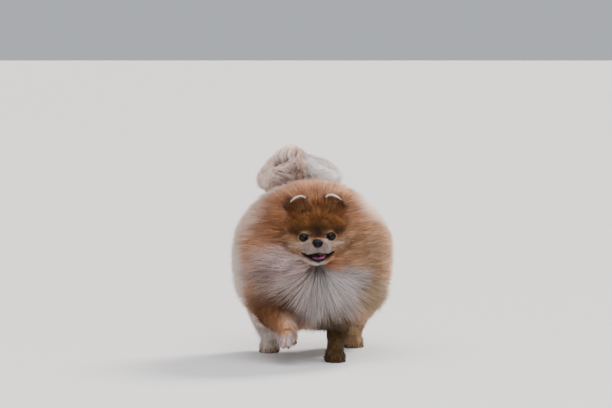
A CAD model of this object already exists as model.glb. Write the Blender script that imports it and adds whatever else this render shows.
# %% [markdown]
# A life-size Pomeranian walks towards us, one forepaw lifted, with a plumed tail carried over its back.
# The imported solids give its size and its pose. This lesson dresses them: one skin, a coat of fine hair
# that is real mesh, glossy eyes, a pebbled nose, lips, tongue, ears, claws and pads. Everything is in
# metres, in the dog's own frame: it faces -Y and its left side is +X.

import time

import bpy
import numpy as np
from mathutils import Matrix, Vector


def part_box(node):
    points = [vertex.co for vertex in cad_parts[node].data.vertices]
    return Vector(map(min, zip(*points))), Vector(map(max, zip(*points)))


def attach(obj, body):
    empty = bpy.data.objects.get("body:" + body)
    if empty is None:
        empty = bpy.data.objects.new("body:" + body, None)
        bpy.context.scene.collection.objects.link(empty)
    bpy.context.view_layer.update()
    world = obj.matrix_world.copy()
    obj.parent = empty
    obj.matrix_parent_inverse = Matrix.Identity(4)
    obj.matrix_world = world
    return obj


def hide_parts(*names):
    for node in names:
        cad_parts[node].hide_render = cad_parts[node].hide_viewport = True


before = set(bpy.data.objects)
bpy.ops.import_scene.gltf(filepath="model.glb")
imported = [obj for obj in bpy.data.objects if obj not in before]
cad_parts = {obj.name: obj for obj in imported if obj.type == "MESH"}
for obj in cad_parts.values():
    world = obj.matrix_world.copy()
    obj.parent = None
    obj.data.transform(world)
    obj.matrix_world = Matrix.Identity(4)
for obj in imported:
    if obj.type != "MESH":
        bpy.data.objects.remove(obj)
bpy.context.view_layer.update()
began = time.time()

# %% [markdown]
# The forms are held as tables of rings, and a shape is read between them. A Catmull-Rom curve passes
# through every ring, so a table stays short and its numbers are places that can be measured on the dog.

# %% Read between the rings
def read_rows(rows, along):
    """Rows read at places from 0 to 1: each column is a Catmull-Rom curve through the table."""
    table = np.array(rows, float)
    padded = np.vstack([2 * table[0] - table[1], table, 2 * table[-1] - table[-2]])
    place = np.clip(along, 0, 1) * (len(table) - 1)
    first = np.minimum(place.astype(int), len(table) - 2)
    t = (place - first)[..., None]
    before, start, end, after = (padded[first + k] for k in range(4))
    curve = 2 * before - 5 * start + 4 * end - after + t * (3 * (start - end) + after - before)
    return start + 0.5 * t * (end - before + t * curve)


def unit(vectors):
    """Vectors scaled to a length of one."""
    return vectors / np.maximum(np.linalg.norm(vectors, axis=-1, keepdims=True), 1e-12)


def smooth_step(low, high, values):
    """0 below low, 1 above high, and 3t^2 - 2t^3 between them."""
    t = np.clip((values - low) / (high - low), 0, 1)
    return t * t * (3 - 2 * t)


quarter = read_rows([[0], [1], [4]], np.array([0.25]))
print("a quarter of the way through 0, 1 and 4 the curve reads", quarter.ravel())

# %% [markdown]
# The body is an oval tube whose rings run from behind the face to the rump. Each ring is given twice, at
# the skin and at the tips of the coat, and depth goes from 0 to 1 between the two.

# %% The body
# Middle x, y, z, half width, rise over the middle, drop under it
SKIN_RINGS = (
    (0.006, -0.134, 0.175, 0.003, 0.003, 0.003), (0.006, -0.13, 0.175, 0.024, 0.024, 0.024),
    (0.006, -0.127, 0.173, 0.029, 0.028, 0.03), (0.005, -0.12, 0.168, 0.033, 0.032, 0.038),
    (0.003, -0.105, 0.158, 0.038, 0.036, 0.048), (0.001, -0.078, 0.148, 0.046, 0.044, 0.056),
    (0.0, -0.038, 0.146, 0.046, 0.046, 0.052), (0.0, 0.006, 0.148, 0.043, 0.044, 0.044),
    (0.0, 0.044, 0.15, 0.04, 0.042, 0.038), (0.0, 0.072, 0.148, 0.036, 0.038, 0.036),
    (0.0, 0.088, 0.145, 0.026, 0.028, 0.028), (0.0, 0.098, 0.143, 0.003, 0.003, 0.003),
)
COAT_RINGS = (
    (0.006, -0.153, 0.171, 0.005, 0.005, 0.005), (0.006, -0.151, 0.171, 0.036, 0.034, 0.038),
    (0.005, -0.148, 0.163, 0.058, 0.046, 0.06), (0.004, -0.139, 0.157, 0.08, 0.062, 0.083),
    (0.002, -0.118, 0.152, 0.099, 0.086, 0.099), (0.0, -0.084, 0.149, 0.11, 0.102, 0.106),
    (-0.002, -0.036, 0.148, 0.113, 0.104, 0.103), (-0.003, 0.01, 0.148, 0.11, 0.096, 0.093),
    (-0.002, 0.052, 0.148, 0.097, 0.086, 0.079), (-0.001, 0.089, 0.147, 0.074, 0.068, 0.066),
    (0.0, 0.111, 0.144, 0.046, 0.045, 0.046), (0.0, 0.122, 0.142, 0.004, 0.004, 0.004),
)
# How much fuller the coat is low at both sides
SIDE_FULLNESS = 0.10


def body_surface(along, around, depth):
    """Middle + (sin(around) * half width, 0, cos(around) * rise or drop), mixed from skin to coat by depth.

    Low at both sides the coat is fuller, as sin(2 * around)^2.
    """
    along, around, depth = np.broadcast_arrays(along, around, depth)
    skin = read_rows(SKIN_RINGS, along)
    row = skin + depth[..., None] * (read_rows(COAT_RINGS, along) - skin)
    up = np.cos(around)
    fuller = 1 + SIDE_FULLNESS * depth * np.where(up < 0, np.sin(2 * around) ** 2, 0)
    wide = np.sin(around) * row[..., 3] * fuller
    high = up * np.where(up > 0, row[..., 4], row[..., 5]) * fuller
    return row[..., :3] + np.stack([wide, 0 * wide, high], -1)


tips = body_surface(np.linspace(0, 1, 40)[:, None], np.linspace(0, 2 * np.pi, 40), 1.0)
print("the coat of the body, tip to tip:", np.ptp(tips.reshape(-1, 3), axis=0).round(3))

# %% [markdown]
# Legs and tail are tubes along a bent line. Each station has a point, the coat's two radii and the skin's
# radius.

# %% The limbs
FORELEG_LEFT = (
    ((0.04, -0.058, 0.115), 0.023, 0.026, 0.015), ((0.04, -0.062, 0.085), 0.0235, 0.025, 0.013),
    ((0.037, -0.07, 0.06), 0.0205, 0.0215, 0.011), ((0.034, -0.079, 0.04), 0.016, 0.017, 0.0105),
    ((0.032, -0.086, 0.024), 0.0132, 0.0138, 0.0112), ((0.031, -0.089, 0.01), 0.0122, 0.0125, 0.011),
)
FORELEG_RIGHT = (
    ((-0.046, -0.058, 0.124), 0.026, 0.028, 0.015), ((-0.052, -0.07, 0.1), 0.034, 0.029, 0.014),
    ((-0.052, -0.094, 0.082), 0.033, 0.0265, 0.012), ((-0.047, -0.117, 0.069), 0.028, 0.0225, 0.011),
    ((-0.041, -0.131, 0.06), 0.021, 0.0175, 0.0108), ((-0.037, -0.139, 0.053), 0.0145, 0.0135, 0.011),
    ((-0.036, -0.142, 0.048), 0.0122, 0.0122, 0.011),
)
HINDLEG_LEFT = (
    ((0.034, 0.06, 0.145), 0.03, 0.038, 0.02), ((0.05, 0.072, 0.112), 0.045, 0.048, 0.024),
    ((0.056, 0.084, 0.082), 0.042, 0.043, 0.018), ((0.059, 0.098, 0.058), 0.033, 0.033, 0.0125),
    ((0.06, 0.108, 0.04), 0.022, 0.0225, 0.011), ((0.06, 0.11, 0.024), 0.015, 0.015, 0.0112),
    ((0.06, 0.11, 0.01), 0.0122, 0.0125, 0.011),
)
HINDLEG_RIGHT = (
    ((-0.034, 0.046, 0.145), 0.03, 0.038, 0.02), ((-0.05, 0.038, 0.112), 0.045, 0.048, 0.024),
    ((-0.057, 0.04, 0.082), 0.043, 0.044, 0.018), ((-0.062, 0.049, 0.058), 0.034, 0.033, 0.0125),
    ((-0.063, 0.055, 0.04), 0.024, 0.0225, 0.011), ((-0.062, 0.049, 0.024), 0.0155, 0.015, 0.0112),
    ((-0.062, 0.04, 0.01), 0.0122, 0.0125, 0.011),
)
TAIL = (
    ((0.0, 0.08, 0.172), 0.016, 0.016, 0.01), ((-0.008, 0.104, 0.208), 0.044, 0.024, 0.0095),
    ((-0.016, 0.096, 0.24), 0.056, 0.029, 0.009), ((-0.018, 0.064, 0.258), 0.06, 0.032, 0.008),
    ((-0.02, 0.028, 0.266), 0.065, 0.031, 0.007), ((-0.027, -0.004, 0.269), 0.052, 0.029, 0.006),
    ((-0.038, -0.022, 0.285), 0.024, 0.021, 0.0045),
)
LEGS = {"foreleg_left": FORELEG_LEFT, "foreleg_right": FORELEG_RIGHT,
        "hindleg_left": HINDLEG_LEFT, "hindleg_right": HINDLEG_RIGHT}


def limb_surface(stations):
    """A tube: middle + side * sin(around) * radius across + front * cos(around) * radius fore and aft."""
    rows = np.array([(*point, *radii) for point, *radii in stations])

    def surface(along, around, depth):
        along, around, depth = np.broadcast_arrays(along, around, depth)
        row = read_rows(rows, along)
        ahead = unit(read_rows(rows, along + 0.02)[..., :3] - read_rows(rows, along - 0.02)[..., :3])
        side = unit(np.array([1.0, 0, 0]) - ahead * ahead[..., :1])
        front = np.cross(ahead, side)
        across = row[..., 5] + depth * (row[..., 3] - row[..., 5])
        deep = row[..., 5] + depth * (row[..., 4] - row[..., 5])
        return (row[..., :3] + side * (np.sin(around) * across)[..., None]
                + front * (np.cos(around) * deep)[..., None])
    return surface


tail_tube = limb_surface(TAIL)
for name, stations in {**LEGS, "tail": TAIL}.items():
    line = np.array([point for point, *_ in stations])
    print(name, "is", np.linalg.norm(np.diff(line, axis=0), axis=1).sum().round(3), "m along its middle")

# %% [markdown]
# The head has its own frame, with its origin midway between the eyes, and is rolled a little to one side.
# Its rings are soft squares. Named bumps then push the surface where muscle, bone or a pad lies under it.

# %% The head
HEAD_AT = np.array([0.006, -0.157, 0.180])
HEAD_ROLL = np.radians(-2.5)
HEAD_TURN = np.array(Matrix.Rotation(HEAD_ROLL, 3, "Y"))
# y, middle z, half width, rise, drop, squareness, depth of the fur
HEAD_RINGS = (
    (-0.0305, -0.01, 0.001, 0.001, 0.001, 2.0, 0.0006), (-0.029, -0.01, 0.008, 0.006, 0.007, 2.0, 0.0008),
    (-0.0265, -0.0105, 0.0116, 0.008, 0.009, 2.1, 0.001),
    (-0.022, -0.011, 0.0146, 0.0092, 0.01, 2.2, 0.0012),
    (-0.0165, -0.011, 0.017, 0.0102, 0.0104, 2.3, 0.0014),
    (-0.011, -0.0108, 0.02, 0.0124, 0.0108, 2.2, 0.0016), (-0.006, -0.01, 0.025, 0.017, 0.0122, 2.1, 0.002),
    (-0.002, -0.008, 0.031, 0.024, 0.0155, 2.1, 0.0026),
    (0.0025, -0.006, 0.0365, 0.0325, 0.0205, 2.1, 0.0036),
    (0.0095, -0.003, 0.0415, 0.0405, 0.0265, 2.1, 0.0048), (0.019, 0.0, 0.045, 0.046, 0.032, 2.1, 0.006),
    (0.03, 0.001, 0.046, 0.0475, 0.035, 2.0, 0.007), (0.043, 0.0, 0.042, 0.044, 0.034, 2.0, 0.008),
    (0.054, 0.0, 0.033, 0.035, 0.028, 2.0, 0.008), (0.06, 0.0, 0.003, 0.003, 0.003, 2.0, 0.008),
)
JAW_RINGS = (
    (-0.0242, -0.0322, 0.001, 0.001, 0.001, 2.0, 0.0005),
    (-0.0235, -0.0321, 0.005, 0.0012, 0.0022, 2.0, 0.0006),
    (-0.0212, -0.0318, 0.0082, 0.0014, 0.0034, 2.2, 0.001),
    (-0.0162, -0.0306, 0.0116, 0.0024, 0.0056, 2.3, 0.0016),
    (-0.01, -0.0282, 0.0152, 0.0034, 0.0082, 2.3, 0.0024),
    (-0.003, -0.0258, 0.019, 0.0024, 0.011, 2.2, 0.004), (0.006, -0.0245, 0.023, 0.004, 0.013, 2.1, 0.005),
    (0.016, -0.024, 0.024, 0.006, 0.013, 2.0, 0.005), (0.023, -0.024, 0.003, 0.003, 0.003, 2.0, 0.005),
)
EYE_SPACING = 0.0385
EYE_RADIUS = 0.0080
EYE_AT = np.array([EYE_SPACING / 2, 0.0010, 0.0])
# The gaze turns outwards, so the middle of the ball lies a little inside that of the opening
EYE_MIDDLE = EYE_AT - np.array([0.0012, 0.0, 0.0])
# Each bump: its middle, its radii and its push. One with x over 0 is on both sides
HEAD_BUMPS = {
    "muzzle pad": ((0.0085, -0.0235, -0.013), (0.008, 0.0085, 0.007), (0.0012, -0.0024, -0.0006)),
    "edge of the upper lip": ((0.012, -0.019, -0.018), (0.008, 0.008, 0.005), (0.0014, -0.001, -0.0024)),
    "lip towards the corner": ((0.0185, -0.011, -0.017), (0.006, 0.007, 0.005), (0.0014, -0.001, -0.002)),
    "groove under the nose": ((0.0, -0.03, -0.016), (0.0016, 0.006, 0.006), (0.0, 0.0018, 0.0)),
    "inner corner of the eye": ((0.011, -0.008, -0.002), (0.0045, 0.007, 0.006), (-0.0004, 0.0016, -0.0006)),
    "brow": ((0.017, -0.002, 0.0115), (0.009, 0.009, 0.0045), (0.0, -0.002, 0.0004)),
    "cheek": ((0.033, 0.006, -0.013), (0.012, 0.014, 0.01), (0.002, -0.002, -0.0006)),
    "eye socket": ((EYE_AT[0], -0.006, 0.0), (0.008, 0.011, 0.007), (0.0, 0.0036, 0.0)),
    "middle of the brow": ((0.0, -0.003, 0.013), (0.006, 0.01, 0.011), (0.0, 0.0012, -0.0004)),
}
head_length = HEAD_RINGS[-1][0] - HEAD_RINGS[0][0]
print("the head is", round(1000 * head_length), "mm long and has", len(HEAD_BUMPS), "bumps")

# %% [markdown]
# Each ring is an oval whose corners are filled by its squareness. The bumps are added to it, fur is laid
# over it along its normals, and a turn and a step take it from the head's own frame into the dog's.

# %% The shape of the head
def from_head(local):
    """Points of the head's frame, in the dog's."""
    return HEAD_AT + local @ HEAD_TURN.T


def to_head(points):
    """Points of the dog's frame, in the head's."""
    return (points - HEAD_AT) @ HEAD_TURN


def oval_rings(rows, along, around):
    """Soft squares along y: |sin|^(2/s) and |cos|^(2/s) times half width, and rise or drop."""
    row = read_rows(rows, along)
    across, up = np.sin(around), np.cos(around)
    power = 2 / row[..., 5]
    x = np.sign(across) * np.abs(across) ** power * row[..., 2]
    z = row[..., 1] + np.sign(up) * np.abs(up) ** power * np.where(up > 0, row[..., 3], row[..., 4])
    return np.stack([x, row[..., 0], z], -1)


def head_shape(along, around):
    """The head's rings, and each bump's push times exp(-distance^2) in shares of its radii."""
    points = oval_rings(HEAD_RINGS, along, around)
    total = np.zeros_like(points)
    for middle, radii, push in HEAD_BUMPS.values():
        for side in (1, -1) if middle[0] > 0 else (1,):
            mirror = np.array([side, 1, 1])
            away = (points - middle * mirror) / radii
            total += np.exp(-(away ** 2).sum(-1))[..., None] * (push * mirror)
    return points + total


def normals_of(shape, along, around, step=1e-3):
    """Outward normals: the cross product of the shape's two slopes."""
    one = shape(along + step, around) - shape(along - step, around)
    two = shape(along, around + step) - shape(along, around - step)
    return unit(np.cross(two, one))


def furred(shape, rows):
    """surface(along, around, depth): the shape at depth 1, drawn in by the depth of its fur at 0."""
    def surface(along, around, depth):
        along, around, depth = np.broadcast_arrays(along, around, depth)
        out = normals_of(shape, np.clip(along, 2e-3, 1 - 2e-3), around)
        fur = read_rows(rows, along)[..., 6]
        return from_head(shape(along, around) + out * ((depth - 1) * fur)[..., None])
    return surface


head_surface = furred(head_shape, HEAD_RINGS)
jaw_surface = furred(lambda a, t: oval_rings(JAW_RINGS, a, t), JAW_RINGS)


HEAD_Y = np.array(HEAD_RINGS)[:, 0]


def share_of_head(points):
    """How far out a point is in the head: 0 on its long axis, 1 on its surface, more outside."""
    local = to_head(points)
    row = read_rows(HEAD_RINGS, np.interp(local[:, 1], HEAD_Y, np.linspace(0, 1, len(HEAD_Y))))
    up = local[:, 2] - row[:, 1]
    share = np.hypot(local[:, 0] / row[:, 2], up / np.where(up > 0, row[:, 3], row[:, 4]))
    return np.where((local[:, 1] < HEAD_Y[0]) | (local[:, 1] > HEAD_Y[-1]), 9.0, share)


solid_eye = np.mean([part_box("eye_left")[0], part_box("eye_left")[1]], axis=0)
SHIFT = solid_eye - from_head(EYE_AT)
print("the solids are centred over the origin, which moves the tables by", SHIFT.round(4))

# %% [markdown]
# A mesh is an array of points and an array of triangles, put in by foreach_set. A surface is a grid of
# those two parameters, closed round its sides, with a single point at each end.

# %% From arrays to a piece
def mesh_piece(name, points, faces, replaces=()):
    """A smooth-shaded piece from points (n, 3) in the dog's frame and faces (m, 3 or 4)."""
    mesh = bpy.data.meshes.new(name)
    corners = faces.shape[1]
    mesh.vertices.add(len(points))
    mesh.loops.add(faces.size)
    mesh.polygons.add(len(faces))
    mesh.vertices.foreach_set("co", (points + SHIFT).astype(np.float32).ravel())
    mesh.loops.foreach_set("vertex_index", faces.astype(np.int32).ravel())
    mesh.polygons.foreach_set("loop_start", np.arange(0, faces.size, corners, dtype=np.int32))
    mesh.polygons.foreach_set("use_smooth", np.ones(len(faces), bool))
    mesh.update()
    piece = bpy.data.objects.new(name, mesh)
    bpy.context.scene.collection.objects.link(piece)
    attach(piece, "root")
    if replaces:
        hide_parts(*replaces)
    return piece


def add_value(piece, name, values):
    """Stores one number, or one vector, for each point of the piece, for the materials to read."""
    kind = "FLOAT_VECTOR" if values.ndim == 2 else "FLOAT"
    store = piece.data.attributes.new(name, kind, "POINT")
    store.data.foreach_set("vector" if values.ndim == 2 else "value", values.astype(np.float32).ravel())


def tube_faces(rings, sides):
    """Triangles of a closed tube of rings, whose last two points are its two ends."""
    ring, side = np.meshgrid(np.arange(rings - 1), np.arange(sides), indexing="ij")
    a, b = ring * sides + side, ring * sides + (side + 1) % sides
    wall = np.stack([a, b, b + sides, a, b + sides, a + sides], -1).reshape(-1, 3)
    k = np.arange(sides)
    last = (rings - 1) * sides
    first_end = np.stack([np.full(sides, rings * sides), (k + 1) % sides, k], -1)
    last_end = np.stack([np.full(sides, rings * sides + 1), last + k, last + (k + 1) % sides], -1)
    return np.concatenate([wall, first_end, last_end])


def outward(points, faces, poles):
    """The triangles, turned over if the form they close has a negative volume."""
    flat = np.concatenate([points.reshape(-1, 3), poles])
    a, b, c = (flat[faces[:, k]] for k in range(3))
    return faces if (a * np.cross(b, c)).sum() > 0 else faces[:, ::-1]


def ring_grid(places, sides):
    """Two arrays: the places along, and as many turns around as there are sides, for every pair of them."""
    return np.meshgrid(places, np.arange(sides) * 2 * np.pi / sides, indexing="ij")


def closed_form(surface, rings, sides, ends=(0.0, 1.0)):
    """Points and triangles of surface(along, around) over a grid, closed by the middle of each end ring."""
    points = surface(*ring_grid(np.linspace(*ends, rings), sides))
    poles = points[[0, -1]].mean(1)
    return np.concatenate([points.reshape(-1, 3), poles]), outward(points, tube_faces(rings, sides), poles)


print("a closed tube of 3 rings and 4 sides has", len(tube_faces(3, 4)), "triangles")

# %% [markdown]
# Shader maths reads like sums on paper once a socket knows how to add, subtract and multiply. Wire wraps a
# socket for that, and Finish makes a material and any other node that a colour or a bump needs.

# %% Sockets that can be added
class Wire:
    """A socket of a material. Each operator adds the Math node of that name and gives its result."""

    def __init__(self, socket):
        self.socket = socket

    def math(self, operation, *others, swap=False):
        tree = self.socket.node.id_data
        made = tree.nodes.new("ShaderNodeMath")
        made.operation = operation
        values = (*others, self) if swap else (self, *others)
        for slot, value in zip(made.inputs, values):
            connect(slot, value)
        return Wire(made.outputs[0])

    def __add__(self, other):
        return self.math("ADD", other)

    def __sub__(self, other):
        return self.math("SUBTRACT", other)

    def __rsub__(self, other):
        return self.math("SUBTRACT", other, swap=True)

    def __mul__(self, other):
        return self.math("MULTIPLY", other)

    __radd__, __rmul__ = __add__, __mul__


def connect(slot, value):
    """Links a Wire to a socket, or sets the socket to a number, colour or vector."""
    if isinstance(value, Wire):
        slot.id_data.links.new(value.socket, slot)
    else:
        slot.default_value = value


class Finish:
    """A material and its Principled shader."""

    def __init__(self, name, **settings):
        self.material = bpy.data.materials.new(name)
        self.material.use_nodes = True
        self.nodes = self.material.node_tree.nodes
        self.shader = self.nodes["Principled BSDF"]
        self.set(**settings)

    def set(self, **values):
        for name, value in values.items():
            value = (*value, 1.0) if isinstance(value, tuple) and len(value) == 3 else value
            connect(self.shader.inputs[name.replace("_", " ")], value)

    def node(self, kind, settings, inputs, output=0):
        """Adds a node: its settings first, then its inputs by name or number. Gives one output."""
        made = self.nodes.new("ShaderNode" + kind)
        for name, value in settings.items():
            setattr(made, name, value)
        for name, value in inputs.items():
            connect(made.inputs[name], value)
        return Wire(made.outputs[output])

    def attribute(self, name, output="Fac"):
        return self.node("Attribute", {"attribute_name": name}, {}, output)

    def place(self):
        return self.node("TexCoord", {}, {}, "Object")

    def noise(self, vector, scale, detail=2.0):
        return self.node("TexNoise", {}, {"Vector": vector, "Scale": scale, "Detail": detail})

    def step(self, value, low, high):
        """0 at low and 1 at high, smoothly."""
        inputs = {0: value, 1: low, 2: high, 3: 0.0, 4: 1.0}
        return self.node("MapRange", {"interpolation_type": "SMOOTHSTEP"}, inputs)

    def mix(self, share, first, second):
        colours = [(*c, 1.0) if isinstance(c, tuple) else c for c in (first, second)]
        return self.node("Mix", {"data_type": "RGBA"}, {0: share, 6: colours[0], 7: colours[1]}, 2)

    def plain(self, colour):
        """One colour all over, as a Wire that other colours can be mixed into."""
        return self.mix(0.0, colour, colour)

    def vector(self, operation, *values, output=0):
        return self.node("VectorMath", {"operation": operation}, dict(enumerate(values)), output)

    def shade(self, colour, level):
        """A colour multiplied by a level."""
        return self.node("VectorMath", {"operation": "SCALE"}, {0: colour, "Scale": level})

    def bump(self, height, distance, strength=1.0):
        self.set(Normal=self.node("Bump", {}, {"Height": height, "Distance": distance, "Strength": strength}))


# %% [markdown]
# The coat has one set of markings, read by the hair and by the skin under it, so that no gap between hairs
# shows a wrong colour. Each marking is a soft ellipsoid of colour in the dog's frame. What it reads is the
# place where a hair shows on the outside of the coat, which every hair and every point of skin carries.

# %% Markings
ORANGE = (0.54, 0.25, 0.120)
# How far the edge of a marking wanders
EDGE_BLUR = 0.015
# Middle, radii, colour, and where the marking starts and ends to fade as shares of its radii
MARKINGS = {
    "apricot back": ((0.0, 0.06, 0.15), (0.14, 0.12, 0.14), (0.78, 0.52, 0.34), 0.6, 1.2),
    "cream flank": ((-0.126, 0.0, 0.118), (0.042, 0.4, 0.095), (0.88, 0.73, 0.64), 0.7, 1.06),
    "cream side": ((-0.12, 0.05, 0.105), (0.06, 0.11, 0.085), (0.88, 0.73, 0.62), 0.6, 1.2),
    "cream belly": ((0.0, 0.03, 0.05), (0.11, 0.14, 0.045), (0.76, 0.64, 0.5), 0.4, 1.2),
    "light shoulder, right": ((-0.09, -0.08, 0.205), (0.036, 0.08, 0.038), (0.86, 0.6, 0.48), 0.3, 1.2),
    "light shoulder, left": ((0.092, -0.07, 0.226), (0.04, 0.09, 0.036), (1.0, 0.84, 0.72), 0.4, 1.2),
    "cream ruff": ((-0.04, -0.15, 0.138), (0.056, 0.06, 0.036), (0.62, 0.46, 0.44), 0.3, 1.2),
    "brown beside the face": ((-0.056, -0.15, 0.19), (0.034, 0.05, 0.026), (0.32, 0.13, 0.052), 0.3, 1.2),
    "tan ruff": ((0.08, -0.13, 0.15), (0.05, 0.07, 0.055), (0.4, 0.22, 0.105), 0.3, 1.2),
    "white chest": ((0.016, -0.15, 0.085), (0.064, 0.08, 0.04), (0.45, 0.4, 0.39), 0.5, 1.25),
    "white chest, left": ((0.052, -0.15, 0.112), (0.04, 0.06, 0.026), (0.64, 0.56, 0.57), 0.3, 1.2),
    "white chest, right": ((-0.04, -0.15, 0.098), (0.045, 0.06, 0.026), (0.62, 0.51, 0.47), 0.3, 1.3),
    "olive side": ((0.09, -0.11, 0.092), (0.034, 0.08, 0.038), (0.34, 0.23, 0.125), 0.4, 1.2),
    "shaded ruff": ((-0.07, -0.15, 0.124), (0.034, 0.06, 0.02), (0.34, 0.23, 0.2), 0.2, 1.3),
    "light edge, left": ((0.134, -0.02, 0.165), (0.036, 0.2, 0.07), (0.95, 0.74, 0.6), 0.5, 1.05),
    "dark crown": ((0.006, -0.145, 0.22), (0.062, 0.045, 0.038), (0.22, 0.062, 0.012), 0.5, 1.25),
    "tail": ((-0.01, 0.03, 0.275), (0.09, 0.11, 0.055), (0.86, 0.62, 0.5), 0.8, 1.1),
    "white plume": ((0.052, 0.03, 0.268), (0.078, 0.112, 0.064), (1.0, 0.97, 0.96), 0.8, 1.05),
    "cream tail": ((-0.066, 0.02, 0.262), (0.058, 0.12, 0.085), (1.0, 0.79, 0.7), 0.75, 1.08),
    "fold of the tail": ((-0.02, -0.01, 0.262), (0.006, 0.05, 0.03), (0.58, 0.34, 0.26), 0.1, 1.2),
    "dark forelegs": ((0.034, -0.08, 0.04), (0.038, 0.06, 0.08), (0.075, 0.036, 0.006), 0.7, 1.2),
    "brown lifted leg": ((-0.05, -0.105, 0.08), (0.044, 0.05, 0.045), (0.145, 0.05, 0.01), 0.6, 1.2),
    "cream hindleg": ((-0.07, 0.045, 0.06), (0.05, 0.06, 0.08), (0.97, 0.84, 0.75), 0.6, 1.2),
    "tan hindleg": ((0.064, 0.09, 0.06), (0.05, 0.07, 0.08), (0.56, 0.36, 0.2), 0.6, 1.2),
}
# In the head's frame
FACE_MARKINGS = {
    "crown": ((0.0, 0.01, 0.034), (0.054, 0.04, 0.034), (0.19, 0.054, 0.004), 0.8, 1.2),
    "forehead": ((0.0, -0.002, 0.018), (0.048, 0.036, 0.024), (0.19, 0.066, 0.006), 0.6, 1.25),
    "cheek": ((0.036, 0.004, -0.014), (0.02, 0.03, 0.016), (0.38, 0.21, 0.11), 0.5, 1.4),
    "shade over the eyes": ((0.0, -0.004, 0.0115), (0.046, 0.024, 0.008), (0.12, 0.042, 0.004), 0.2, 1.2),
    "dark between the eyes": ((0.0, -0.004, 0.0065), (0.01, 0.02, 0.012), (0.036, 0.01, 0.001), 0.1, 1.5),
    "dark over the eye": ((0.031, 0.0, 0.009), (0.013, 0.02, 0.0062), (0.075, 0.026, 0.002), 0.2, 1.3),
    "pale brow": ((0.0165, -0.006, 0.0066), (0.009, 0.014, 0.0028), (0.34, 0.22, 0.125), 0.1, 1.3),
    "beside the nose": ((0.0125, -0.016, -0.005), (0.0075, 0.02, 0.0065), (0.4, 0.28, 0.23), 0.3, 1.3),
    "under the ear": ((0.029, 0.01, 0.044), (0.017, 0.03, 0.008), (0.12, 0.044, 0.008), 0.2, 1.4),
    "pale muzzle": ((0.011, -0.022, -0.015), (0.017, 0.02, 0.01), (0.37, 0.285, 0.25), 0.6, 1.2),
    "pale under the eye": ((0.024, -0.006, -0.01), (0.0155, 0.016, 0.0062), (0.62, 0.44, 0.33), 0.3, 1.2),
    "chin": ((0.0, -0.018, -0.0345), (0.012, 0.02, 0.005), (0.5, 0.44, 0.42), 0.6, 1.3),
    "line under the nose": ((0.0, -0.03, -0.016), (0.0005, 0.01, 0.0046), (0.24, 0.19, 0.19), 0.3, 1.2),
    "rim of the eye": ((0.0187, -0.006, 0.0), (0.0068, 0.009, 0.006), (0.022, 0.011, 0.008), 0.75, 1.15),
}


def add_marking(finish, colour, place, middle, radii, paint, inner, outer):
    """Mixes paint into colour inside an ellipsoid: the length of (place - middle) / radii gives the share."""
    away = finish.vector("SUBTRACT", place, tuple(middle))
    away = finish.vector("DIVIDE", away, tuple(radii))
    far = finish.vector("LENGTH", away, output=1)
    return finish.mix(finish.step(far, outer, inner), colour, paint)


def coat_colour(finish):
    """The coat's colour from the place that each hair shows at, which is blurred by noise at the edges."""
    place = finish.attribute("place", "Vector")
    wander = finish.noise(place, 55.0)
    clump = finish.attribute("clump")
    spread = finish.node("CombineXYZ", {}, {0: wander - 0.5, 1: clump - 0.5, 2: clump - wander})
    place = finish.vector("ADD", place, finish.shade(spread, EDGE_BLUR))
    colour = finish.plain(ORANGE)
    for row in MARKINGS.values():
        colour = add_marking(finish, colour, place, *row)
    return colour


def face_colour(finish, colour, place):
    """The face's markings over the coat's colour, in the head's frame and the same on both sides."""
    local = finish.node("VectorRotate", {"rotation_type": "AXIS_ANGLE"},
                        {"Vector": finish.vector("SUBTRACT", place, tuple(HEAD_AT)), "Axis": (0, 1, 0),
                         "Angle": -HEAD_ROLL})
    mirrored = finish.vector("ABSOLUTE", local)
    axes = ((mirrored, 0), (local, 1), (local, 2))
    parts = [finish.node("SeparateXYZ", {}, {0: source}, k) for source, k in axes]
    folded = finish.node("CombineXYZ", {}, dict(enumerate(parts)))
    for row in FACE_MARKINGS.values():
        colour = add_marking(finish, colour, folded, *row)
    return colour


print(len(MARKINGS), "markings on the body and", len(FACE_MARKINGS), "on the face")

# %% [markdown]
# A hair is darker and warmer at its root and bleached at its tip, and neither two hairs nor two locks are
# quite alike. Each hair carries four values for that: where it shows, how far along it a point is, a draw
# of its own and a draw of its lock. The woolly undercoat has the same colours, broken by fine fibres.

# %% Coat and skin finishes
# Lowest level of the colour and what is added to it: along a hair, from hair to hair, from lock to lock
LEVELS = {"along": (0.60, 0.60), "strand": (0.78, 0.44), "clump": (0.62, 0.76)}
BLEACHED = (0.95, 0.78, 0.66)


def hair_finish(name, face=False, plain=None):
    """Hair: darker and warmer at its root, paler at its tip, and a little different from hair to hair."""
    finish = Finish(name, Specular_IOR_Level=0.18, Sheen_Weight=0.04, Sheen_Roughness=0.4)
    colour = coat_colour(finish) if plain is None else finish.plain(plain)
    if face:
        colour = face_colour(finish, colour, finish.attribute("place", "Vector"))
    along, strand, clump = wires = [finish.attribute(key) for key in LEVELS]
    tip, own, lock = (wire * more + low for wire, (low, more) in zip(wires, LEVELS.values()))
    colour = finish.shade(colour, tip * own * lock)
    bright = finish.node("RGBToBW", {}, {0: colour})
    bleached = finish.step(along * 0.6 + strand * 0.5 + clump * 0.3, 0.75, 1.30) * bright * 0.8
    colour = finish.mix(bleached, colour, BLEACHED)
    finish.set(Base_Color=colour, Roughness=strand * 0.15 + 0.50)
    return finish.material


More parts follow.
